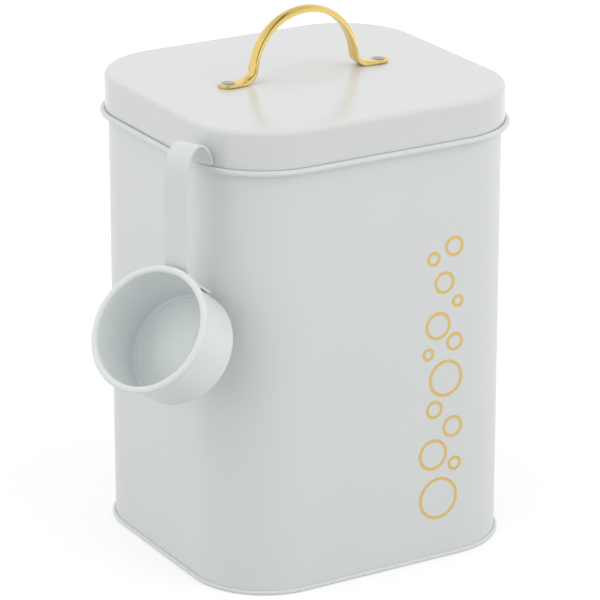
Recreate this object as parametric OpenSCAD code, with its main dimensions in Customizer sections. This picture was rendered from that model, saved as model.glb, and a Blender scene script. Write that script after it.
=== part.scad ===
// Laundry powder tin: a sheet-steel canister with a lift-off lid, a bow handle
// and a scoop that hangs by its hook from the rim.
// Millimetres. The origin is the centre of the base, +Z up, the printed face to -Y.

/* [Body] */
// Width across the walls, side to side
body_w = 172; // [120:1:260]
// Depth across the walls, front to back
body_d = 158; // [120:1:240]
// Radius of the four upright corners, outside
corner_r = 40; // [30:1:55]
// Height of the middle of the rim bead above the floor
rim_z = 222; // [160:1:320]
// Thickness of the sheet steel
sheet = 0.8; // [0.5:0.1:1]
// Width of the lap where the wall's two ends are welded, at the back
lap_w = 9; // [5:1:16]

/* [Rim bead] */
// Outer radius of the curled bead
bead_r = 1.9; // [1.7:0.1:2.5]
// How far the bead stands out of the wall
bead_out = 4.2; // [3.8:0.1:6]
// Bend radius where the wall turns out under the bead
bead_bend = 1; // [0.4:0.1:2]

/* [Base] */
// How far the floor of the tin is raised inside its seam
base_rise = 4; // [3:0.5:10]
// How far the bottom seam stands out of the wall
seam_out = 1.7; // [1.5:0.1:3]
// Room between the folds of the bottom seam
seam_gap = 0.2; // [0.1:0.05:0.4]

/* [Neck] */
// How far the neck collar rises above the middle of the bead
neck_rise = 13; // [8:0.5:16]
// How far the collar laps down inside the wall
neck_lap = 16; // [8:1:30]
// Height of the fold along the collar's top edge
neck_fold = 4; // [2:0.5:6]

/* [Lid] */
// Height of the lid, from its skirt's edge to its top
lid_h = 18.8; // [17.5:0.1:40]
// How far the lid's skirt stands out of the wall
skirt_out = 1.8; // [1.6:0.1:2.4]
// Radius of the lid's top edge
lid_edge_r = 2.5; // [1.5:0.1:6]
// Height of the fold along the skirt's bottom edge
skirt_fold = 4; // [2:0.5:6]
// Clearance where the lid and the scoop rest
rest_gap = 0.3; // [0.2:0.05:0.5]

/* [Handle] */
// Distance between the two rivets
rivet_span = 87.5; // [82:0.5:110]
// Radius of the arch, to the middle of the bar
arch_r = 30; // [24:0.5:32]
// Angle above level at which the arch turns into the bends to its feet
arch_tilt = 5; // [0:1:20]
// Radius of the bends from arch to feet, to the middle of the bar
foot_bend = 6; // [4:0.5:7]
// Width of the bar
bar_w = 7; // [5:0.5:9]
// Thickness of the bar
bar_t = 3.3; // [2.7:0.1:4]
// Roundness of the bar: 1 is an ellipse, less is squarer
bar_round = 0.75; // [0.5:0.05:1]
// Width of the flattened feet
foot_w = 10.5; // [9:0.5:14]
// Thickness of the flattened feet
foot_t = 2.1; // [1.5:0.1:2.6]
// Length over which the bar flares to a foot's full width
foot_flare = 2; // [1:0.25:3]
// Diameter of the rivets' shanks
rivet_d = 3.6; // [2.5:0.1:4]
// Diameter of the rivets' heads
rivet_head = 7; // [5.5:0.1:8]
// Height of the rivets' domed heads
rivet_dome = 0.6; // [0.4:0.1:1.5]
// Height of the rivets' closed ends under the lid
rivet_tail = 1.4; // [0.8:0.1:2]

/* [Scoop] */
// How far round the corner the scoop hangs, from the side face
hang_angle = 23.2; // [10:0.5:45]
// How far the hook sits off the line square to the corner
hang_shift = -4.5; // [-6:0.5:6]
// Width of the strap
strap_w = 14; // [10:0.5:20]
// Thickness of the strap
strap_t = 1.2; // [0.8:0.1:2]
// Width of the hook, over both legs
hook_w = 21.2; // [16:0.1:26]
// Length of the hook's short leg below its arch
tip_len = 2.7; // [1:0.1:6]
// Radius of the strap's rounded corners
strap_corner = 1.6; // [1:0.1:3]
// Drop from the hook's crest to the bend at the cup
strap_drop = 64.5; // [50:0.5:75]
// Inner radius of the bend at the cup
strap_bend = 2; // [1:0.1:4]
// Length of the foot that is welded to the cup
strap_foot = 22; // [12:0.5:25]
// Distance from the bend to the middle of the cup's rim
bend_to_rim = 5.7; // [4:0.1:8]
// Angle at which the cup's mouth looks up
cup_tilt = 35; // [25:1:45]
// Depth of the cup, from the middle of its rim
cup_depth = 32.4; // [28:0.1:50]
// Inner radius of the cup's mouth
mouth_r = 28.8; // [24:0.1:32]
// Inner radius of the cup at its bottom
bottom_r = 28.1; // [23:0.1:31]
// Outer radius of the cup's rolled rim
rim_r = 1.8; // [1.5:0.1:2.5]
// Outer radius of the cup's bottom edge
cup_edge_r = 2.5; // [1.5:0.1:5]

/* [Hidden] */
$fn = 96;
join = 0.05;

corner_x = body_w / 2 - corner_r;
corner_y = body_d / 2 - corner_r;
bead_n = bead_out - bead_r;
rim_top = rim_z + bead_r;

// The bottom seam's folds, from the floor up
seam_h = 3 * sheet + seam_gap;
neck_top = rim_z + neck_rise;

// The lid rests on the bead
skirt_z = rim_top + rest_gap;
lid_top = skirt_z + lid_h;

// Heights over the lid. The arch meets each bend where their centres are in line
bend_z = bar_t / 2 + foot_bend;
arch_z = bend_z - (arch_r + foot_bend) * sin(arch_tilt);
bend_x = (arch_r + foot_bend) * cos(arch_tilt);
rivet_x = rivet_span / 2;
foot_x = rivet_x - foot_w / 2 + foot_flare;
arch_steps = 18;
bend_steps = 7;
bar_sides = 16;
press_in = 0.3;
pad_x = bend_x + press_in;

// The scoop's own frame: x out of the tip's outer face, z up from the floor
tip_n = skirt_out + rest_gap + strap_t;
tip_z = rim_top + rest_gap;
hook_r = hook_w / 2;
arch_base = tip_z + tip_len;
bend_foot_z = arch_base + hook_r - strap_drop;
wall_r = mouth_r + sheet;
cup_taper = atan((mouth_r - bottom_r) / cup_depth);
foot_tilt = cup_tilt + cup_taper;
bend_turn = 90 - foot_tilt;
bend_run = (strap_bend + strap_t) * tan(bend_turn / 2);
cup_x = bend_to_rim * cos(cup_taper);
cup_y = bend_to_rim * sin(cup_taper) - wall_r;

// ---- shared shapes ----

// Places a profile at the four corners and along the four sides of the tin.
// In the profile, x is the distance out of the wall's outer face and y is the height.
module around() {
    for (sx = [0, 1], sy = [0, 1])
        mirror([sx, 0, 0]) mirror([0, sy, 0]) translate([corner_x, corner_y, 0])
            rotate_extrude(angle = 90) translate([corner_r, 0]) children();
    for (s = [0, 180]) rotate([0, 0, s]) {
        translate([0, corner_y + corner_r, 0]) along(2 * corner_x) children();
        translate([corner_x + corner_r, 0, 0]) rotate([0, 0, -90]) along(2 * corner_y) children();
    }
}

// A straight run of a profile along X, facing +Y
module along(length) {
    rotate([90, 0, 90]) linear_extrude(length, center = true) children();
}

// A flat sheet with the tin's outline, n outside its wall
module sheet_plan(n, z0, z1) {
    translate([0, 0, z0]) linear_extrude(z1 - z0) {
        square([body_w + 2 * n, 2 * corner_y], center = true);
        square([2 * corner_x, body_d + 2 * n], center = true);
        for (sx = [-1, 1], sy = [-1, 1])
            translate([sx * corner_x, sy * corner_y]) circle(corner_r + n);
    }
}

// A rectangle from one corner to the other, with its own corners rounded
module bar(x0, y0, x1, y1, r) {
    translate([x0 + r, y0]) square([x1 - x0 - 2 * r, y1 - y0]);
    translate([x0, y0 + r]) square([x1 - x0, y1 - y0 - 2 * r]);
    for (x = [x0 + r, x1 - r], y = [y0 + r, y1 - r]) translate([x, y]) circle(r, $fn = 32);
}

// ---- the tin ----

// The wall's section: seam flange, wall, bend and the open curl of the bead
module wall_section() {
    translate([-sheet, sheet]) square([seam_out, sheet]);
    translate([-sheet, sheet]) square([sheet, rim_z - bead_r]);
    translate([-sheet, rim_z - bead_r]) square([sheet + bead_n, sheet]);
    difference() {
        translate([0, rim_z - bead_r - bead_bend]) square(bead_bend);
        translate([bead_bend, rim_z - bead_r - bead_bend]) circle(bead_bend, $fn = 48);
    }
    translate([bead_n, rim_z]) difference() {
        circle(bead_r, $fn = 64);
        circle(bead_r - sheet, $fn = 64);
        translate([-bead_r - 1, sheet - bead_r]) square([bead_r + 1, bead_r - sheet]);
    }
}

// The lap runs between the base and the collar, so that neither meets it
module body_wall() color("gainsboro") {
    around() wall_section();
    translate([-lap_w / 2, body_d / 2 - 2 * sheet, base_rise + seam_gap])
        cube([lap_w, sheet + join, rim_z - neck_lap - base_rise - 2 * seam_gap]);
}

// The base's section: raised floor's edge, foot and the fold over the wall's flange
module base_section() {
    translate([-2 * sheet, 0]) square([sheet, base_rise]);
    translate([-2 * sheet, 0]) square([seam_out + sheet, sheet]);
    translate([0, seam_h - sheet]) square([seam_out - sheet, sheet]);
    translate([seam_out - sheet, sheet]) square([sheet, sheet + seam_gap]);
    for (z = [sheet, seam_h - sheet])
        translate([seam_out - sheet, z]) intersection() {
            circle(sheet, $fn = 48);
            translate([0, z > sheet ? 0 : -sheet]) square(sheet);
        }
}

module base_panel() color("gainsboro") {
    around() base_section();
    sheet_plan(-1.5 * sheet, base_rise - sheet, base_rise);
}

// A strip inside the wall, folded in along its top edge
module collar_section() {
    translate([-2 * sheet, rim_z - neck_lap]) square([sheet, neck_lap + neck_rise - sheet]);
    bar_top = neck_top - neck_fold;
    translate([-3 * sheet, bar_top]) square([2 * sheet, neck_fold - sheet]);
    translate([-2 * sheet, neck_top - sheet]) circle(sheet, $fn = 32);
}

module neck_collar() color("gainsboro") around() collar_section();

// ---- the lid ----

// The skirt, folded in along its edge, and the round to the top
module lid_section() {
    translate([skirt_out - sheet, skirt_z + sheet])
        square([sheet, lid_h - lid_edge_r - sheet]);
    translate([skirt_out - 2 * sheet, skirt_z + sheet]) square([2 * sheet, skirt_fold - sheet]);
    translate([skirt_out - sheet, skirt_z + sheet]) circle(sheet, $fn = 32);
    translate([skirt_out - lid_edge_r, lid_top - lid_edge_r]) intersection() {
        difference() {
            circle(lid_edge_r, $fn = 64);
            circle(lid_edge_r - sheet, $fn = 64);
        }
        square(lid_edge_r);
    }
}

module at_rivets() {
    for (s = [-1, 1]) translate([s * rivet_x, 0, 0]) children();
}

module lid_shell() color("whitesmoke") difference() {
    union() {
        around() lid_section();
        sheet_plan(skirt_out - lid_edge_r, lid_top - sheet, lid_top);
    }
    at_rivets() translate([0, 0, lid_top - 2 * sheet]) cylinder(h = 3 * sheet, d = rivet_d);
}

// Places down the handle's right half, from the crown to the foot: distance out, height
// over the lid, the way the bar's outer face looks, and the bar's width and thickness
function arch_places() = [for (i = [0:arch_steps])
    let(look = 90 - (90 - arch_tilt) * i / arch_steps)
    [arch_r * cos(look), arch_z + arch_r * sin(look), look, bar_w, bar_t]];

function bend_places() = [for (i = [1:bend_steps])
    let(look = arch_tilt + (90 - arch_tilt) * i / bend_steps)
    [bend_x - foot_bend * cos(look), bend_z - foot_bend * sin(look), look, bar_w, bar_t]];

function half_places() = concat(arch_places(), bend_places(),
    [[foot_x, foot_t / 2, 90, foot_w - 2 * press_in, foot_t - 2 * press_in]]);

// The bar's oval section at one place, as a superellipse
function oval(place) = [for (i = [0:bar_sides - 1])
    let(turn = 360 * (i + 0.5) / bar_sides)
    let(out = place[4] / 2 * rounded(sin(turn)))
    [place[0] + out * cos(place[2]), place[3] / 2 * rounded(cos(turn)),
        place[1] + out * sin(place[2])]];

function rounded(x) = sign(x) * pow(abs(x), bar_round);

function mirrored(place) = [-place[0], place[1], 180 - place[2], place[3], place[4]];

// The two triangles between neighbouring points of one section and the next
function strip(row, i) =
    let(a = row * bar_sides + i)
    let(b = row * bar_sides + (i + 1) % bar_sides)
    [[a, b + bar_sides, b], [a, a + bar_sides, b + bar_sides]];

module handle_bar() {
    right = half_places();
    last = len(right) - 1;
    places = concat([for (i = [last:-1:1]) mirrored(right[i])], right);
    ends = [[for (i = [0:bar_sides - 1]) i],
        [for (i = [1:bar_sides]) (2 * last + 1) * bar_sides - i]];
    sides = [for (row = [0:2 * last - 1]) for (i = [0:bar_sides - 1]) each strip(row, i)];
    polyhedron([for (place = places) each oval(place)], concat(ends, sides));
}

// The bar's end pressed flat, with a round end about the rivet
module foot_pad() {
    linear_extrude(foot_t) difference() {
        union() {
            translate([rivet_x, 0]) circle(foot_w / 2);
            polygon([[pad_x, -bar_w / 2 + press_in], [foot_x, -foot_w / 2],
                [rivet_x, -foot_w / 2], [rivet_x, foot_w / 2],
                [foot_x, foot_w / 2], [pad_x, bar_w / 2 - press_in]]);
        }
        translate([rivet_x, 0]) circle(rivet_d / 2);
    }
}

module lid_handle() color("gold") translate([0, 0, lid_top]) {
    handle_bar();
    foot_pad();
    mirror([1, 0, 0]) foot_pad();
}

// A domed head on the foot, a shank through the lid and a closed end under it
module rivet() {
    dome_r = (pow(rivet_head / 2, 2) + pow(rivet_dome, 2)) / (2 * rivet_dome);
    rotate_extrude() {
        intersection() {
            translate([0, foot_t + rivet_dome - dome_r]) circle(dome_r);
            translate([0, foot_t]) square([rivet_head, rivet_dome]);
        }
        translate([0, -sheet - join]) square([rivet_d / 2, foot_t + sheet + 2 * join]);
        translate([0, -sheet - rivet_tail]) square([rivet_d * 0.8, rivet_tail]);
    }
}

module handle_rivets() color("silver") at_rivets() translate([0, 0, lid_top]) rivet();

// ---- the scoop ----

// Puts the scoop's frame on the tin's front left corner
module hang() {
    translate([-corner_x, -corner_y, 0]) rotate([0, 0, 180 + hang_angle])
        translate([corner_r + tip_n, hang_shift, 0]) children();
}

// The strap from the side: short leg, arch, long leg, bend and foot
module strap_side() {
    difference() {
        translate([hook_r, arch_base]) circle(hook_r);
        translate([hook_r, arch_base]) circle(hook_r - strap_t);
        translate([-1, arch_base - hook_w]) square([hook_w + 2, hook_w]);
    }
    translate([0, tip_z + strap_corner]) square([strap_t, tip_len - strap_corner + join]);
    translate([hook_w - strap_t, bend_foot_z + bend_run - join])
        square([strap_t, arch_base - bend_foot_z - bend_run + 2 * join]);
    translate([hook_w - strap_t - strap_bend, bend_foot_z + bend_run]) intersection() {
        difference() {
            circle(strap_bend + strap_t, $fn = 64);
            circle(strap_bend, $fn = 64);
        }
        polygon([[0, 0], [9, 0], [9, -9 * tan(bend_turn / 2)],
            [9 * cos(bend_turn), -9 * sin(bend_turn)]]);
    }
    translate([hook_w, bend_foot_z]) rotate(foot_tilt)
        translate([strap_corner - strap_foot, 0])
            square([strap_foot - strap_corner - bend_run + join, strap_t]);
}

// A flat end of the strap with two rounded corners, in its own plane
module strap_end() {
    intersection() {
        bar(-strap_w / 2, 0, strap_w / 2, 3 * strap_corner, strap_corner);
        translate([-strap_w / 2, 0]) square([strap_w, strap_corner + join]);
    }
}

module scoop_strap() color("gainsboro") hang() {
    rotate([90, 0, 0]) linear_extrude(strap_w, center = true) strap_side();
    translate([0, 0, tip_z]) rotate([90, 0, 90]) linear_extrude(strap_t) strap_end();
    translate([hook_w, 0, bend_foot_z]) rotate([0, -foot_tilt, 0])
        translate([-strap_foot, 0, 0]) rotate([0, 0, -90])
            linear_extrude(strap_t) strap_end();
}

// The cup's section: floor, tapered wall with a round edge, and the rolled rim
module cup_section() {
    difference() {
        cup_outline(0);
        cup_outline(sheet);
        translate([-1, 0]) square([mouth_r + 9, 9]);
    }
    translate([mouth_r + rim_r, 0]) difference() {
        circle(rim_r, $fn = 64);
        circle(rim_r - sheet, $fn = 64);
        translate([-rim_r - 1, -rim_r - 1]) square([rim_r + 1, rim_r + 1]);
    }
}

// The cup's outside, or its inside when it is moved in by the sheet
module cup_outline(inset) {
    edge = cup_edge_r - inset;
    foot_r = bottom_r + sheet - inset;
    polygon([[0, inset - cup_depth], [foot_r - edge, inset - cup_depth],
        [foot_r, edge + inset - cup_depth], [wall_r - inset, 0], [wall_r - inset, 1], [0, 1]]);
    intersection() {
        translate([foot_r - edge, edge + inset - cup_depth]) circle(edge, $fn = 64);
        square([2 * foot_r, 2 * cup_depth], center = true);
    }
}

module scoop_cup() color("gainsboro") hang() {
    translate([hook_w, 0, bend_foot_z]) rotate([0, -cup_tilt, 0])
        translate([cup_x, 0, cup_y]) rotate([0, 90, 0]) rotate_extrude() cup_section();
}

body_wall();
base_panel();
neck_collar();
lid_shell();
lid_handle();
handle_rivets();
scoop_strap();
scoop_cup();
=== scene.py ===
from math import asin, atan, atan2, cos, degrees, pi, radians, sin, tan

import bmesh
import bpy
from mathutils import Matrix, Vector
from mathutils.bvhtree import BVHTree


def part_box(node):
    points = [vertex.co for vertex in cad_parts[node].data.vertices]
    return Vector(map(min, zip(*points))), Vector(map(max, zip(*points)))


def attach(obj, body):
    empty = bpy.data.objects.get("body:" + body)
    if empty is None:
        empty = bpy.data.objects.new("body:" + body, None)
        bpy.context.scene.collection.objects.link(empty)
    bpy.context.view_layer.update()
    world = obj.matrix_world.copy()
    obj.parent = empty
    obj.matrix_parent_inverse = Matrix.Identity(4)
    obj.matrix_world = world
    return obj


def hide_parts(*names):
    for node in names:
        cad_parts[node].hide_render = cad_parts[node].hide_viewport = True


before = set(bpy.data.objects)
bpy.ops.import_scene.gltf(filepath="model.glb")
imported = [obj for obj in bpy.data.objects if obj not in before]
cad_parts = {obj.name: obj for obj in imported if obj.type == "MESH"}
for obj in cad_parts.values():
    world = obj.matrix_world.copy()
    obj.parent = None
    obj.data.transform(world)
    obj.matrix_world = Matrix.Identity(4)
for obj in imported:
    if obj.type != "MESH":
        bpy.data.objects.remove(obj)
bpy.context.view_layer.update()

# The photograph's side, in pixels. Where things show in the photograph, in pixels
# from its top left corner.
PHOTO_SIDE = 600

# The camera looks at the tin's front left corner from a little above it, with a long
# lens, as product photographs are taken. The image points settled its place.
CAMERA_AT = (-0.86832, -1.46944, 0.74573)
CAMERA_TURN = radians(30.514)
CAMERA_DROP = radians(20.077)
SENSOR_MM = 36
LENS_MM = 211.47

photo_lens = bpy.data.cameras.new("photo_camera")
photo_lens.sensor_fit = "AUTO"
photo_lens.sensor_width = SENSOR_MM
photo_lens.lens = LENS_MM
camera = bpy.data.objects.new("photo_camera", photo_lens)
camera.location = CAMERA_AT
camera.rotation_euler = (pi / 2 - CAMERA_DROP, 0, -CAMERA_TURN)
bpy.context.collection.objects.link(camera)
bpy.context.scene.camera = camera
bpy.context.view_layer.update()

# The studio: a pale floor that fades into a plain white room, and one large soft box on
# each side and overhead. The tin's near corner faces the gap between the boxes, so it is
# darker.
FLOOR_SIDE = 6.0
FLOOR_GREY = 0.62
FLOOR_GLOW = (0.475, 0.66)
FLOOR_FADE = (0.22, 0.85)
WORLD_LEVEL = 0.68
DARK_SLOT = 0.15
SLOT_SIDES = (0.05, 0.22)
DIM_CEILING = 0.75
CEILING_EDGE = (0.55, 0.95)
LAMP_TINT = (1.0, 0.975, 0.965)
# Each box's place, the place that it is aimed at, its side and its power
SOFT_BOXES = {
    "left_box": ((-1.5, -0.05, 0.95), (0.0, 0.0, 0.12), 1.9, 7.2),
    "right_box": ((1.05, -1.45, 0.95), (0.0, 0.0, 0.12), 1.9, 11.2),
    "top_box": ((0.1, 0.3, 1.7), (0.0, 0.0, 0.2), 1.9, 4.1),
}


def new_material(name):
    material = bpy.data.materials.new(name)
    material.use_nodes = True
    material.node_tree.nodes.clear()
    return material, material.node_tree


def show(tree, shader):
    """Puts a shader on a material's surface."""
    output = tree.nodes.new("ShaderNodeOutputMaterial")
    tree.links.new(shader.outputs[0], output.inputs["Surface"])


def reckon(tree, operation, first, second):
    """One value out of two. The second may be a plain number."""
    sum_up = tree.nodes.new("ShaderNodeMath")
    sum_up.operation = operation
    tree.links.new(first, sum_up.inputs[0])
    if isinstance(second, (int, float)):
        sum_up.inputs[1].default_value = second
    else:
        tree.links.new(second, sum_up.inputs[1])
    return sum_up.outputs[0]


def ramp(tree, value, levels, over=(0, 1), smooth=False):
    """Carries a value from one stretch of numbers over to another."""
    stretch = tree.nodes.new("ShaderNodeMapRange")
    if smooth:
        stretch.interpolation_type = "SMOOTHSTEP"
    stretch.inputs["From Min"].default_value, stretch.inputs["From Max"].default_value = over
    stretch.inputs["To Min"].default_value, stretch.inputs["To Max"].default_value = levels
    tree.links.new(value, stretch.inputs["Value"])
    return stretch.outputs[0]


def white_to_eyes_and_metal(tree):
    """1 for camera, glossy and transmission rays and 0 for the rest."""
    path = tree.nodes.new("ShaderNodeLightPath")
    both = reckon(tree, "MAXIMUM", path.outputs["Is Camera Ray"], path.outputs["Is Glossy Ray"])
    return reckon(tree, "MAXIMUM", both, path.outputs["Is Transmission Ray"])


def goes_along(tree, heading, direction):
    """How far a ray's heading goes along a direction."""
    dot = tree.nodes.new("ShaderNodeVectorMath")
    dot.operation = "DOT_PRODUCT"
    dot.inputs[1].default_value = direction
    tree.links.new(heading, dot.inputs[0])
    return dot.outputs["Value"]


def room_in_metal(tree):
    """The room is dark in the upright slot between the two side boxes, where the camera
    stands, and dimmer overhead. Only polished metal shows it, as a thin dark line."""
    heading = tree.nodes.new("ShaderNodeTexCoord").outputs["Generated"]
    sideways = goes_along(tree, heading, (cos(CAMERA_TURN), -sin(CAMERA_TURN), 0))
    off_middle = reckon(tree, "ABSOLUTE", sideways, 0)
    beside_slot = ramp(tree, off_middle, (0, 1), over=SLOT_SIDES, smooth=True)
    forwards = goes_along(tree, heading, (sin(CAMERA_TURN), cos(CAMERA_TURN), 0))
    behind_tin = reckon(tree, "GREATER_THAN", forwards, 0)
    walls = ramp(tree, reckon(tree, "MAXIMUM", beside_slot, behind_tin), (DARK_SLOT, 1))
    upwards = goes_along(tree, heading, (0, 0, 1))
    ceiling = ramp(tree, upwards, (1, DIM_CEILING), over=CEILING_EDGE, smooth=True)
    room = reckon(tree, "MULTIPLY", walls, ceiling)
    eyes = tree.nodes.new("ShaderNodeLightPath").outputs["Is Camera Ray"]
    return reckon(tree, "MAXIMUM", eyes, room)


def light_the_room():
    world = bpy.data.worlds.new("studio")
    bpy.context.scene.world = world
    world.use_nodes = True
    tree = world.node_tree
    tree.nodes.clear()
    level = ramp(tree, white_to_eyes_and_metal(tree), (WORLD_LEVEL, 1))
    tree.links.new(room_in_metal(tree), level.node.inputs["To Max"])
    background = tree.nodes.new("ShaderNodeBackground")
    background.inputs["Color"].default_value = (1, 1, 1, 1)
    tree.links.new(level, background.inputs["Strength"])
    output = tree.nodes.new("ShaderNodeOutputWorld")
    tree.links.new(background.outputs[0], output.inputs["Surface"])
    for name, (place, aim, side, watts) in SOFT_BOXES.items():
        lamp = bpy.data.lights.new(name, "AREA")
        lamp.shape = "SQUARE"
        lamp.size = side
        lamp.energy = watts
        lamp.color = LAMP_TINT
        box = bpy.data.objects.new(name, lamp)
        box.location = place
        box.visible_glossy = False
        towards = Vector(aim) - Vector(place)
        box.rotation_euler = towards.to_track_quat("-Z", "Y").to_euler()
        bpy.context.collection.objects.link(box)


def lay_the_floor():
    material, tree = new_material("white_floor")
    matt = tree.nodes.new("ShaderNodeBsdfDiffuse")
    matt.inputs["Color"].default_value = (FLOOR_GREY, FLOOR_GREY, FLOOR_GREY, 1)
    away = tree.nodes.new("ShaderNodeVectorMath")
    away.operation = "LENGTH"
    tree.links.new(tree.nodes.new("ShaderNodeTexCoord").outputs["Object"], away.inputs[0])
    fade = ramp(tree, away.outputs["Value"], FLOOR_GLOW, over=FLOOR_FADE, smooth=True)
    level = reckon(tree, "MULTIPLY", fade, white_to_eyes_and_metal(tree))
    glow = tree.nodes.new("ShaderNodeEmission")
    tree.links.new(level, glow.inputs["Strength"])
    both = tree.nodes.new("ShaderNodeAddShader")
    tree.links.new(matt.outputs[0], both.inputs[0])
    tree.links.new(glow.outputs[0], both.inputs[1])
    show(tree, both)
    bm = bmesh.new()
    bmesh.ops.create_grid(bm, x_segments=1, y_segments=1, size=FLOOR_SIDE / 2)
    mesh = bpy.data.meshes.new("floor")
    bm.to_mesh(mesh)
    bm.free()
    mesh.materials.append(material)
    floor = bpy.data.objects.new("floor", mesh)
    bpy.context.collection.objects.link(floor)


bpy.context.scene.view_settings.view_transform = "Standard"
light_the_room()
lay_the_floor()

# The wall: one strip of 0.8 mm steel, powder coated, bent round four corners and lapped
# at the back. Its top edge is curled outwards into a bead, and its bottom edge is flanged.
SHEET = 0.0008
BASE_SHEET = 0.0006
BEAD_OUT = 0.0042
BEAD_RISE = 0.0019
BEAD_R = 0.0015
BEAD_BEND = 0.0009
SEAM_OUT = 0.0017
SEAM_GAP = 0.0001
FLANGE_R = 0.0006
CORNER_R = 0.040
CORNER_STEPS = 28
HOLD = 0.0006
WELD = 1e-6
LAP_W = 0.009
LAP_T = 0.00088
LAP_INSET = 0.00112
LAP_GAP = 0.0004
NECK_LAP = 0.016
BASE_RISE = 0.004
COAT_TINT = (0.752, 0.785, 0.780)
COAT_ROUGHNESS = 0.34
COAT_CLOUD = (0.985, 1.012)
COAT_WANDER = 0.03
wall_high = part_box("body_wall")[1]
HALF_W = wall_high[0] - BEAD_OUT
HALF_D = wall_high[1] - BEAD_OUT
RIM_Z = wall_high[2] - BEAD_RISE
BEAD_Z = wall_high[2] - BEAD_R
FLANGE_Z = BASE_SHEET + SHEET / 2 + SEAM_GAP


def arc(centre, radius, start, end, steps=8):
    """Points on a round stretch, from one angle to the other, in degrees."""
    points = []
    for i in range(steps + 1):
        turn = radians(start + (end - start) * i / steps)
        points.append((centre[0] + radius * cos(turn), centre[1] + radius * sin(turn)))
    return points


def cut_edge(line, sheet=SHEET):
    """The round of a sheet's cut edge at the end of its middle line, from left to right."""
    end, before = Vector(line[-1]), Vector(line[-2])
    facing = degrees(atan2(end.y - before.y, end.x - before.x))
    return arc(end, sheet / 2, facing + 90, facing - 90, 6)[1:-1]


def two_faces(line, sheet=SHEET):
    """The left and the right face of a bent sheet, from its middle line."""
    places = [Vector(p) for p in line]
    left, right = [], []
    for i, place in enumerate(places):
        before = places[max(i - 1, 0)]
        after = places[min(i + 1, len(places) - 1)]
        along = (after - before).normalized()
        side = Vector((-along.y, along.x)) * sheet / 2
        left.append(tuple(place + side))
        right.append(tuple(place - side))
    return left, right


def thicken(line):
    """The whole outline of a bent sheet, with both its cut edges."""
    left, right = two_faces(line)
    return left + cut_edge(line) + right[::-1] + cut_edge(line[::-1])


def held(line):
    """The line with an extra point close to each end of its long straights, so that the
    shading of the flat sheet stays flat."""
    out = [line[0]]
    for a, b in zip(line, line[1:]):
        a, b = Vector(a), Vector(b)
        length = (b - a).length
        if length > 6 * HOLD:
            step = (b - a) * (HOLD / length)
            out += [tuple(a + step), tuple(b - step)]
        out.append(tuple(b))
    return out


def wire(bm, places, closed=False):
    """Joins places by edges into a line or a loop."""
    verts = [bm.verts.new(place) for place in places]
    ends = verts[1:] + verts[:1] if closed else verts[1:]
    return verts + [bm.edges.new(pair) for pair in zip(verts, ends)]


def go_round(section, closed=True):
    """Carries a section round the tin: four straights and four corners. In the section,
    x is the distance out of the wall's outer face and y is the height."""
    bm = bmesh.new()
    geom = wire(bm, [(HALF_W + out, CORNER_R - HALF_D, up) for out, up in section], closed)
    for quarter in range(4):
        heading = Matrix.Rotation(quarter * pi / 2, 3, "Z")
        half_run = (HALF_D if quarter % 2 == 0 else HALF_W) - CORNER_R
        half_side = (HALF_W if quarter % 2 == 0 else HALF_D) - CORNER_R
        for length in (HOLD, 2 * half_run - 2 * HOLD, HOLD):
            geom = bmesh.ops.spin(bm, geom=geom, cent=(0, 0, 0), axis=(0, 0, 1), angle=0,
                steps=1, dvec=heading @ Vector((0, length, 0)))["geom_last"]
        centre = heading @ Vector((half_side, half_run, 0))
        geom = bmesh.ops.spin(bm, geom=geom, cent=centre, axis=(0, 0, 1), angle=pi / 2,
            steps=CORNER_STEPS, dvec=(0, 0, 0))["geom_last"]
    bmesh.ops.remove_doubles(bm, verts=bm.verts, dist=WELD)
    return bm


def finish_piece(bm, name, material, body, slot, *nodes):
    """Turns a bmesh into a smooth piece that rides on its body and stands for its nodes."""
    bmesh.ops.recalc_face_normals(bm, faces=bm.faces)
    for face in bm.faces:
        face.smooth = True
    mesh = bpy.data.meshes.new(name)
    bm.to_mesh(mesh)
    bm.free()
    mesh.materials.append(material)
    piece = bpy.data.objects.new(name, mesh)
    bpy.context.collection.objects.link(piece)
    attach(piece, body)
    if nodes:
        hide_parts(*nodes)
    return piece


def new_skin(name, metallic=0):
    """A material with one skin all over it, and the places that its patterns read."""
    material, tree = new_material(name)
    skin = tree.nodes.new("ShaderNodeBsdfPrincipled")
    skin.inputs["Metallic"].default_value = metallic
    show(tree, skin)
    return material, tree, skin, tree.nodes.new("ShaderNodeTexCoord").outputs["Object"]


def noise(tree, place, scale, detail):
    """A random pattern, finer the larger its scale."""
    cells = tree.nodes.new("ShaderNodeTexNoise")
    cells.inputs["Scale"].default_value = scale
    cells.inputs["Detail"].default_value = detail
    tree.links.new(place, cells.inputs["Vector"])
    return cells.outputs["Fac"]


def mottle(tree, skin, pattern, tones, roughness):
    """Lets a skin's colour and roughness wander with a pattern, between two of each."""
    colour = tree.nodes.new("ShaderNodeMix")
    colour.data_type = "RGBA"
    colour.inputs["A"].default_value = (*tones[0], 1)
    colour.inputs["B"].default_value = (*tones[1], 1)
    tree.links.new(pattern, colour.inputs["Factor"])
    tree.links.new(colour.outputs["Result"], skin.inputs["Base Color"])
    tree.links.new(ramp(tree, pattern, roughness), skin.inputs["Roughness"])


def relief(tree, pattern, strength, depth):
    """A pattern turned into highs and lows of a skin, depth apart."""
    bump = tree.nodes.new("ShaderNodeBump")
    bump.inputs["Strength"].default_value = strength
    bump.inputs["Distance"].default_value = depth
    tree.links.new(pattern, bump.inputs["Height"])
    return bump.outputs[0]


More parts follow.
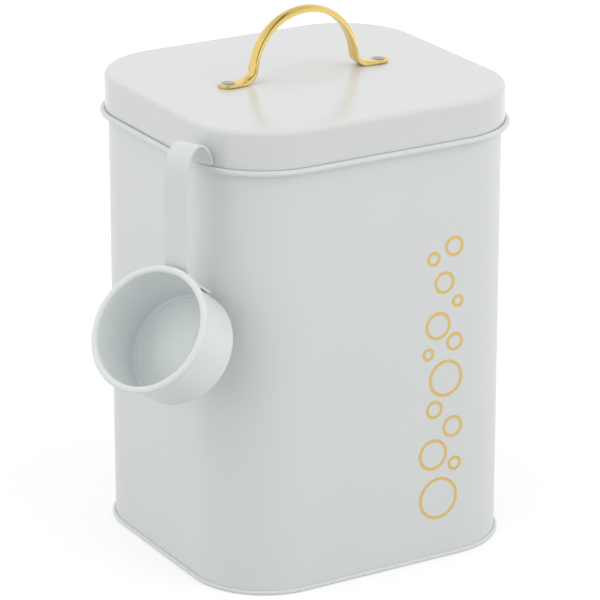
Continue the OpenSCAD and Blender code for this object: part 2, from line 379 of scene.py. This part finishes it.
def powder_coat(name, tint, roughness):
    """Baked powder coat: a satin skin with a fine orange peel over a sheet that is never
    quite flat, and a faint cloudiness in its colour."""
    material, tree, skin, place = new_skin(name)
    tones = [[c * share for c in tint] for share in COAT_CLOUD]
    cloud = noise(tree, place, scale=22, detail=3)
    mottle(tree, skin, cloud, tones, (roughness - COAT_WANDER, roughness + COAT_WANDER))
    peel = relief(tree, noise(tree, place, scale=900, detail=1), strength=0.25, depth=0.00002)
    dents = relief(tree, noise(tree, place, scale=14, detail=0), strength=0.5, depth=0.0006)
    tree.links.new(peel, dents.node.inputs["Normal"])
    tree.links.new(dents, skin.inputs["Normal"])
    return material


tin_coat = powder_coat("tin_powder_coat", COAT_TINT, COAT_ROUGHNESS)
curl = BEAD_R - SHEET / 2
bead_n = BEAD_OUT - BEAD_R
turn_r = BEAD_BEND + SHEET / 2
wall_n = -SHEET / 2
curl_low = BEAD_Z - curl
wall_line = [(SEAM_OUT - BASE_SHEET - SHEET / 2 - SEAM_GAP, FLANGE_Z)]
wall_line += arc((FLANGE_R + wall_n, FLANGE_Z + FLANGE_R), FLANGE_R, 270, 180, 5)
wall_line += arc((wall_n + turn_r, curl_low - turn_r), turn_r, 180, 90, 8)
wall_line += arc((bead_n, BEAD_Z), curl, 270, 540, 30)
bm = go_round(thicken(held(wall_line)))
lap_top = RIM_Z - NECK_LAP - LAP_GAP
bmesh.ops.create_cube(bm, size=1, matrix=Matrix.Translation(
    (0, HALF_D - LAP_INSET, (BASE_RISE + lap_top) / 2))
    @ Matrix.Diagonal((LAP_W, LAP_T, lap_top - BASE_RISE - LAP_GAP, 1)))
tin_wall = finish_piece(bm, "tin_wall", tin_coat, "tin", "tin", "body_wall")

# The print: a column of plain gold rings, like rising bubbles, screened in one thin layer on
# the wall's front. It stands where the real tin has lettering, which is left off.
PRINT_LAYER = 0.00006
PRINT_LINE = 0.0017
RING_STEPS = 64
FLAKE_SCALE = 3500
INK_TONES = ((0.68, 0.477, 0.144), (0.785, 0.583, 0.216))
INK_ROUGHNESS = (0.36, 0.50)
# Each ring's place across and up the front, and its outer radius
BUBBLES = [
    (0.0330, 0.0330, 0.0115), (0.0425, 0.0505, 0.0040), (0.0295, 0.0575, 0.0085),
    (0.0410, 0.0710, 0.0060), (0.0300, 0.0820, 0.0050), (0.0365, 0.0980, 0.0100),
    (0.0260, 0.1125, 0.0035), (0.0415, 0.1170, 0.0050), (0.0315, 0.1270, 0.0075),
    (0.0430, 0.1385, 0.0035), (0.0350, 0.1495, 0.0060), (0.0285, 0.1630, 0.0040),
    (0.0405, 0.1680, 0.0055),
]


def gold_ink():
    """Screened metallic ink: small flakes in a satin binder."""
    material, tree, ink, place = new_skin("gold_ink", metallic=0.35)
    flakes = tree.nodes.new("ShaderNodeTexVoronoi")
    flakes.inputs["Scale"].default_value = FLAKE_SCALE
    tree.links.new(place, flakes.inputs["Vector"])
    mottle(tree, ink, flakes.outputs["Distance"], INK_TONES, INK_ROUGHNESS)
    return material


front, back = -HALF_D - PRINT_LAYER, -HALF_D + PRINT_LAYER
bm = bmesh.new()
for x, z, radius in BUBBLES:
    outer, inner = x + radius, x + radius - PRINT_LINE
    geom = wire(bm, [(outer, front, z), (inner, front, z), (inner, back, z), (outer, back, z)],
        closed=True)
    bmesh.ops.spin(bm, geom=geom, cent=(x, 0, z), axis=(0, 1, 0), angle=2 * pi,
        steps=RING_STEPS, dvec=(0, 0, 0), use_merge=True)
rings = finish_piece(bm, "printed_rings", gold_ink(), "tin", None)
for face in rings.data.polygons:
    face.use_smooth = False

# The base: a panel pressed from thinner sheet. It sits a little above the shelf, with its
# edge brought down to a foot and folded over the wall's flange in a flat seam.
FOLD_R = 0.0010
CREASE = 0.0001
BASE_FLAT_N = -0.020
INSIDE_N = -1.5 * SHEET
half_sheet = BASE_SHEET / 2
seam_top = FLANGE_Z + SHEET / 2 + SEAM_GAP + half_sheet
base_line = [(BASE_FLAT_N, BASE_RISE - half_sheet)]
base_line += arc((INSIDE_N - FOLD_R, BASE_RISE - half_sheet - FOLD_R), FOLD_R, 90, 0, 6)
base_line += arc((INSIDE_N + FOLD_R, half_sheet + FOLD_R), FOLD_R, 180, 270, 6)
fold_r = (seam_top - half_sheet) / 2
base_line += arc((SEAM_OUT - half_sheet - fold_r, half_sheet + fold_r), fold_r, -90, 90, 10)
base_line += [(CREASE + half_sheet, seam_top)]


def close_across(bm):
    """Closes both open faces of a pressed plate, flat across its middle."""
    open_edges = [edge for edge in bm.edges if edge.is_boundary]
    bmesh.ops.holes_fill(bm, edges=open_edges, sides=0)


upper, under = two_faces(held(base_line), BASE_SHEET)
bm = go_round(upper + cut_edge(base_line, BASE_SHEET) + under[::-1], closed=False)
close_across(bm)
base_plate = finish_piece(bm, "base_plate", tin_coat, "tin", "tin", "base_panel")

# The neck: a strip of the wall's sheet, spot welded inside the wall's top. It stands above
# the bead and locates the lid, and its top edge is folded in so that it doesn't cut the hand.
NECK_RISE = 0.013
NECK_FOLD = 0.004
NECK_FOLD_R = 0.00045
neck_top = RIM_Z + NECK_RISE
neck_line = [(INSIDE_N, RIM_Z - NECK_LAP)]
neck_line += arc((INSIDE_N - NECK_FOLD_R, neck_top - SHEET / 2 - NECK_FOLD_R), NECK_FOLD_R,
    0, 180, 10)
neck_line += [(INSIDE_N - 2 * NECK_FOLD_R, neck_top - NECK_FOLD)]
neck = finish_piece(go_round(thicken(held(neck_line))), "neck_strip", tin_coat, "tin", "tin",
    "neck_collar")

# The lid: a shallow pan pressed from the same sheet, with a rounded edge and a glossier
# coat. Its skirt drops over the neck, is pressed in by a hair at the bottom, and is hemmed.
LID_TINT = (0.730, 0.752, 0.751)
LID_ROUGHNESS = 0.19
LID_FLAT_N = -0.030
SKIRT_OUT = 0.0018
LID_EDGE_R = 0.0025
SKIRT_FOLD = 0.004
HEM_DROP = 0.0006
HEM_CORNER = 0.0003
TUCK = 0.0001
TUCK_RISE = 0.003
TUCK_STEPS = 5
lid_low, lid_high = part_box("lid_shell")
lid_coat = powder_coat("lid_powder_coat", LID_TINT, LID_ROUGHNESS)
skirt_n = SKIRT_OUT - SHEET / 2
edge_r = LID_EDGE_R - SHEET / 2
lid_mid = lid_high[2] - SHEET / 2
hem_low = lid_low[2] - HEM_DROP
lid_line = [(LID_FLAT_N, lid_mid)]
lid_line += arc((skirt_n - edge_r, lid_mid - edge_r), edge_r, 90, 0, 9)
lid_line += [(skirt_n, hem_low + SKIRT_FOLD + SHEET)]
outside, inside = two_faces(held(lid_line))
hem_out = SKIRT_OUT - TUCK
hem_in = hem_out - 2 * SHEET
tucked = [i / TUCK_STEPS for i in range(TUCK_STEPS + 1)]
hem = [(SKIRT_OUT - TUCK * t ** 2, hem_low + HEM_CORNER + TUCK_RISE * (1 - t)) for t in tucked]
hem += arc((hem_out - HEM_CORNER, hem_low + HEM_CORNER), HEM_CORNER, 0, -90, 5)[1:]
hem += arc((hem_in + HEM_CORNER, hem_low + HEM_CORNER), HEM_CORNER, 270, 180, 5)
hem += arc((hem_in + HEM_CORNER, hem_low + SKIRT_FOLD - HEM_CORNER), HEM_CORNER, 180, 90, 5)
hem += [(SKIRT_OUT - SHEET, hem_low + SKIRT_FOLD)]
bm = go_round(outside + hem + inside[::-1], closed=False)
close_across(bm)
lid_pan = finish_piece(bm, "lid_pan", lid_coat, "lid", "lid", "lid_shell")

# The handle: a half-round brass bar, flat inside and domed outside, bent into a bow and
# polished. Its ends are pressed flatter and wider where the rivets go through.
ARCH_R = 0.030
ARCH_TILT = radians(5)
FOOT_BEND = 0.006
BAR_W = 0.007
BAR_T = 0.0033
BAR_EDGE = 0.0004
FOOT_DOME = 0.35
FOOT_W = 0.0105
FOOT_T = 0.0021
FOOT_FLARE = 0.002
FLARE_FROM = 0.25
FOOT_END_W = 0.0006
ARCH_STEPS = 40
BEND_STEPS = 36
END_STEPS = 12
RIVET_SPAN = 0.0875
BRASS_TONES = ((0.77, 0.550, 0.165), (0.89, 0.665, 0.235))
BRASS_ROUGHNESS = (0.09, 0.16)
LID_TOP = lid_high[2]
bend_z = BAR_T / 2 + FOOT_BEND
arch_z = bend_z - (ARCH_R + FOOT_BEND) * sin(ARCH_TILT)
bend_x = (ARCH_R + FOOT_BEND) * cos(ARCH_TILT)
rivet_x = RIVET_SPAN / 2


def polished_brass():
    """Buffed brass under a thin lacquer, with the faint ripple that the buffing leaves."""
    material, tree, metal, place = new_skin("polished_brass", metallic=1)
    metal.inputs["Coat Weight"].default_value = 0.3
    metal.inputs["Coat Roughness"].default_value = 0.05
    mottle(tree, metal, noise(tree, place, scale=60, detail=4), BRASS_TONES, BRASS_ROUGHNESS)
    ripple = relief(tree, noise(tree, place, scale=350, detail=2), strength=0.1, depth=0.00005)
    tree.links.new(ripple, metal.inputs["Normal"])
    return material


def draw_on(bm, geom, pivot, turn, slide, flat, up, old, new):
    """Carries the bar's last ring on, about a pivot or along X, and gives it a new width,
    thickness and dome in place of the old. The bar rises from its flat side along up."""
    geom = bmesh.ops.spin(bm, geom=geom, cent=pivot, axis=(0, 1, 0), angle=turn, steps=1,
        dvec=(slide, 0, 0))["geom_last"]
    for vert in geom:
        if isinstance(vert, bmesh.types.BMVert):
            rise = max((vert.co - flat).dot(up), 0)
            vert.co += up * (new[1] * (rise / old[1]) ** (new[2] / old[2]) - rise)
            vert.co.y *= new[0] / old[0]
    return geom


def half_bow(bm):
    """The bow's right half: its section at the crown, spun down the arch and back out
    through the bend, then drawn out into the foot with its round end."""
    dome = arc((0, 0), 1, 0, 180, 30)
    line = [(BAR_W / 2 * x, BAR_EDGE + (BAR_T - BAR_EDGE) * y) for x, y in dome]
    line += arc((BAR_EDGE - BAR_W / 2, BAR_EDGE), BAR_EDGE, 180, 270, 5)[1:]
    line += arc((BAR_W / 2 - BAR_EDGE, BAR_EDGE), BAR_EDGE, 270, 360, 5)[:-1]
    inner_side = LID_TOP + arch_z + ARCH_R - BAR_T / 2
    geom = wire(bm, [(0, across, inner_side + out) for across, out in line], closed=True)
    sweep = pi / 2 - ARCH_TILT
    geom = bmesh.ops.spin(bm, geom=geom, cent=(0, 0, LID_TOP + arch_z), axis=(0, 1, 0),
        angle=sweep, steps=ARCH_STEPS, dvec=(0, 0, 0))["geom_last"]
    pivot = Vector((bend_x, 0, LID_TOP + bend_z))
    flare_end = rivet_x - FOOT_W / 2 + FOOT_FLARE
    bend_run = FOOT_BEND * sweep
    whole_run = bend_run + flare_end - bend_x
    step = whole_run / BEND_STEPS
    old = (BAR_W, BAR_T, 1)
    for i in range(1, BEND_STEPS + 1):
        run = step * i
        t = max((run / whole_run - FLARE_FROM) / (1 - FLARE_FROM), 0)
        ease = t * t * (3 - 2 * t)
        new = (BAR_W + (FOOT_W - BAR_W) * ease, BAR_T + (FOOT_T - BAR_T) * ease,
            1 + (FOOT_DOME - 1) * ease)
        turned = min(run / FOOT_BEND, sweep) - min((run - step) / FOOT_BEND, sweep)
        slide = max(run - bend_run, 0) - max(run - step - bend_run, 0)
        left = sweep - min(run / FOOT_BEND, sweep)
        up = Vector((sin(left), 0, cos(left)))
        flat = pivot - up * bend_z
        geom = draw_on(bm, geom, pivot, -turned, slide, flat, up, old, new)
        old = new
    x, up, flat = flare_end, Vector((0, 0, 1)), Vector((0, 0, LID_TOP))
    for i in range(END_STEPS + 1):
        turn = pi / 2 * i / END_STEPS
        new = (max(FOOT_W * cos(turn), FOOT_END_W), FOOT_T, FOOT_DOME)
        end = rivet_x + FOOT_W / 2 * sin(turn)
        geom = draw_on(bm, geom, pivot, 0, end - x, flat, up, old, new)
        x, old = end, new
    bmesh.ops.contextual_create(bm, geom=[g for g in geom if isinstance(g, bmesh.types.BMEdge)])


brass = polished_brass()
bm = bmesh.new()
half_bow(bm)
bmesh.ops.mirror(bm, geom=bm.verts[:] + bm.edges[:] + bm.faces[:], axis="X", merge_dist=WELD)
bow = finish_piece(bm, "bow_handle", brass, "lid", "handle", "lid_handle")

# The rivets: two steel rivets with low domed heads, set through the bow's feet and the lid
# and closed flat underneath.
RIVET_D = 0.0036
RIVET_HEAD = 0.007
RIVET_DOME = 0.0006
RIVET_TAIL = 0.0014
TAIL_WIDTH = 1.6
TAIL_CORNER = 0.0003
TAIL_TIP = 0.0002
RIVET_STEPS = 48
STEEL_TONES = ((0.34, 0.335, 0.33), (0.58, 0.575, 0.57))
STEEL_ROUGHNESS = (0.24, 0.42)


def bright_steel():
    """Tumbled steel: a fine grain of lighter and darker, smoother and rougher specks."""
    material, tree, metal, place = new_skin("bright_steel", metallic=1)
    mottle(tree, metal, noise(tree, place, scale=900, detail=3), STEEL_TONES, STEEL_ROUGHNESS)
    return material


steel = bright_steel()
dome_r = ((RIVET_HEAD / 2) ** 2 + RIVET_DOME ** 2) / (2 * RIVET_DOME)
dome_z = FOOT_T + RIVET_DOME - dome_r
dome_turn = degrees(atan2(FOOT_T - dome_z, RIVET_HEAD / 2))
tail_r = RIVET_D / 2 * TAIL_WIDTH
rivet_line = arc((0, dome_z), dome_r, 90, dome_turn, 10)
rivet_line += [(RIVET_D / 2, FOOT_T), (RIVET_D / 2, -SHEET), (tail_r - TAIL_CORNER, -SHEET)]
rivet_line += arc((tail_r - TAIL_CORNER, -SHEET - TAIL_CORNER), TAIL_CORNER, 90, -40, 4)
rivet_line += arc((0, -SHEET - RIVET_TAIL + TAIL_TIP), TAIL_TIP, 300, 270, 2)
rivets = []
for name, side in (("left_rivet", -1), ("right_rivet", 1)):
    bm = bmesh.new()
    middle = Vector((side * rivet_x, 0, LID_TOP))
    geom = wire(bm, [middle + Vector((r, 0, z)) for r, z in rivet_line])
    bmesh.ops.spin(bm, geom=geom, cent=middle, axis=(0, 0, 1), angle=2 * pi,
        steps=RIVET_STEPS, dvec=(0, 0, 0), use_merge=True)
    bmesh.ops.remove_doubles(bm, verts=bm.verts, dist=WELD)
    rivets.append(finish_piece(bm, name, steel, "lid", "rivets", "handle_rivets"))

# The scoop's strap: a flat strip of coated steel, bent to a hook that stands on the tin's
# rim. It hangs down the front left corner, and its foot is bent back along the top of the
# cup and spot welded to it.
# The strap's coat is a shade darker than the tin's: painted shade for the strap, which faces
# the gap between the side boxes like the tin's near corner.
STRAP_TINT_WITH_PAINTED_SHADE = (0.738, 0.768, 0.764)
STRAP_ROUGHNESS = 0.30
HANG_ANGLE = radians(23.2)
HANG_SHIFT = -0.0045
STRAP_W = 0.014
STRAP_T = 0.0012
HOOK_W = 0.0212
TIP_LEN = 0.0027
TIP_TRIM = 0.0008
CROWN_POINT = 0.0016
STRAP_CORNER = 0.0016
STRAP_SOFT_EDGE = 0.00025
SHARP_ANGLE = radians(50)
STRAP_DROP = 0.0645
STRAP_BEND = 0.002
STRAP_FOOT = 0.022
REST_GAP = 0.0003
CUP_TILT = radians(35)
CUP_DEPTH = 0.0324
MOUTH_R = 0.0288
BOTTOM_R = 0.0281
BEND_TO_RIM = 0.0057
RIM_R = 0.0018
CUP_EDGE_R = 0.0025
tip_n = SKIRT_OUT + REST_GAP + STRAP_T
tip_z = wall_high[2] + REST_GAP
hook_r = HOOK_W / 2
arch_base = tip_z + TIP_LEN
bend_foot_z = arch_base + hook_r - STRAP_DROP
cup_taper = atan((MOUTH_R - BOTTOM_R) / CUP_DEPTH)
foot_tilt = CUP_TILT + cup_taper
bend_turn = pi / 2 - foot_tilt
bend_run = (STRAP_BEND + STRAP_T) * tan(bend_turn / 2)
hang = (Matrix.Translation((CORNER_R - HALF_W, CORNER_R - HALF_D, 0))
    @ Matrix.Rotation(pi + HANG_ANGLE, 4, "Z")
    @ Matrix.Translation((CORNER_R + tip_n, HANG_SHIFT, 0)))

half_t = STRAP_T / 2
hook_top = arch_base + hook_r - half_t
crown_rise = hook_top - tip_z + CROWN_POINT
tip_turn = degrees(asin(1 - (hook_top - tip_z - TIP_TRIM) / crown_rise))
strap_line = [(hook_r + (half_t - hook_r) * x, hook_top - crown_rise * (1 - z))
    for x, z in arc((0, 0), 1, tip_turn, 180, 36)]
strap_bend = (HOOK_W - STRAP_T - STRAP_BEND, bend_foot_z + bend_run)
mid_bend = STRAP_BEND + half_t
strap_line += arc(strap_bend, mid_bend, 0, -degrees(bend_turn), 8)
foot_end = Vector((HOOK_W, bend_foot_z)) + Matrix.Rotation(foot_tilt, 2) @ Vector(
    (-STRAP_FOOT, half_t))
strap_line += [tuple(foot_end)]
bm = bmesh.new()
geom = wire(bm, [(x, -STRAP_W / 2, z) for x, z in held(strap_line)])
bmesh.ops.spin(bm, geom=geom, cent=(0, 0, 0), axis=(0, 0, 1), angle=0, steps=1,
    dvec=(0, STRAP_W, 0))
tips = [v for v in bm.verts if len(v.link_edges) == 2]
bmesh.ops.bevel(bm, geom=tips, offset=STRAP_CORNER, segments=6, profile=0.5,
    affect="VERTICES", material=-1)
bm.transform(hang)
scoop_coat = powder_coat("strap_coat_with_painted_shade", STRAP_TINT_WITH_PAINTED_SHADE, STRAP_ROUGHNESS)
strap = finish_piece(bm, "scoop_hook_strap", scoop_coat, "scoop", "scoop", "scoop_strap")
thickness = strap.modifiers.new("sheet", "SOLIDIFY")
thickness.thickness = STRAP_T
thickness.offset = 0
softened = strap.modifiers.new("softened_edges", "BEVEL")
softened.width = STRAP_SOFT_EDGE
softened.segments = 3
softened.harden_normals = True
softened.limit_method = "ANGLE"
softened.angle_limit = SHARP_ANGLE

# The scoop's cup: drawn from sheet in one piece, a little narrower at its flat floor, with
# a raised ring in the floor and its rim rolled outwards.
FLOOR_RING_R = 0.0256
FLOOR_RING_W = 0.0012
FLOOR_RING_H = 0.0004
CUP_STEPS = 96
CUP_TINT = (0.803, 0.846, 0.848)
CUP_ROUGHNESS = 0.22
wall_r = MOUTH_R + SHEET
mid_edge = CUP_EDGE_R - SHEET / 2
foot_r = BOTTOM_R + SHEET / 2
cup_line = [(0, SHEET / 2 - CUP_DEPTH)]
cup_line += arc((foot_r - mid_edge, SHEET / 2 + mid_edge - CUP_DEPTH), mid_edge, 270, 360, 9)
roll = RIM_R - SHEET / 2
cup_line += arc((MOUTH_R + RIM_R, 0), roll, 180, -90, 24)
to_cup = (hang @ Matrix.Translation((HOOK_W, 0, bend_foot_z))
    @ Matrix.Rotation(-CUP_TILT, 4, "Y")
    @ Matrix.Translation((BEND_TO_RIM * cos(cup_taper), 0,
        BEND_TO_RIM * sin(cup_taper) - wall_r))
    @ Matrix.Rotation(pi / 2, 4, "Y"))
inner, outer = two_faces(held(cup_line))
ring = [(FLOOR_RING_R + FLOOR_RING_W / 2 * x, SHEET - CUP_DEPTH + FLOOR_RING_H * z)
    for x, z in arc((0, 0), 1, 180, 0, 10)]
inner = ([place for place in inner if place[0] < ring[0][0]] + ring
    + [place for place in inner if place[0] > ring[-1][0]])
bm = bmesh.new()
geom = wire(bm, [(r, 0, z) for r, z in inner + cut_edge(cup_line) + outer[::-1]])
bmesh.ops.spin(bm, geom=geom, cent=(0, 0, 0), axis=(0, 0, 1), angle=2 * pi,
    steps=CUP_STEPS, dvec=(0, 0, 0), use_merge=True)
bmesh.ops.remove_doubles(bm, verts=bm.verts, dist=2 * WELD)
bm.transform(to_cup)
cup_coat = powder_coat("cup_powder_coat", CUP_TINT, CUP_ROUGHNESS)
cup = finish_piece(bm, "scoop_drawn_cup", cup_coat, "scoop", "scoop", "scoop_cup")

# Where each named thing shows in the picture. Only what the camera sees counts: a point of a
# piece is in view when nothing stands between it and the lens.
NEAR = 0.0004


def in_picture(place):
    """Where the camera shows a place, in pixels from the picture's top left corner."""
    seen = camera.matrix_world.inverted() @ place
    scale = PHOTO_SIDE * LENS_MM / SENSOR_MM / -seen.z
    return PHOTO_SIDE / 2 + seen.x * scale, PHOTO_SIDE / 2 - seen.y * scale


def finished_mesh(piece):
    """A finished piece's vertices and faces, with its modifiers."""
    shape = piece.evaluated_get(bpy.context.evaluated_depsgraph_get()).to_mesh()
    return ([v.co.copy() for v in shape.vertices], [tuple(p.vertices) for p in shape.polygons])


def everything_in_the_way(pieces):
    """One tree of every finished piece, to test what the camera sees."""
    places, faces = [], []
    for piece in pieces:
        verts, polygons = finished_mesh(piece)
        faces += [tuple(i + len(places) for i in polygon) for polygon in polygons]
        places += verts
    return BVHTree.FromPolygons(places, faces)


def what_shows(piece, obstacles, low=-1.0, high=1.0):
    """Picture places of the piece's vertices in view, between two heights. A surface nearer
    than NEAR to a vertex doesn't hide it, because it is the vertex's own."""
    lens = Vector(CAMERA_AT)
    shown = []
    for place in finished_mesh(piece)[0]:
        if low <= place.z <= high:
            towards = place - lens
            reach = obstacles.ray_cast(lens, towards.normalized())[3]
            if reach is None or reach > towards.length - NEAR:
                shown.append(in_picture(place))
    return shown


bpy.context.view_layer.update()
whole_tin = [tin_wall, base_plate, neck, lid_pan, bow, *rivets, strap, cup]
obstacles = everything_in_the_way(whole_tin)
outline = [place for piece in whole_tin for place in what_shows(piece, obstacles)]
bead = what_shows(tin_wall, obstacles, low=BEAD_Z - BEAD_R)
lid_shows = what_shows(lid_pan, obstacles)
cup_shows = what_shows(cup, obstacles)
strap_shows = what_shows(strap, obstacles, low=tip_z)
for rivet in rivets:
    shows = what_shows(rivet, obstacles)
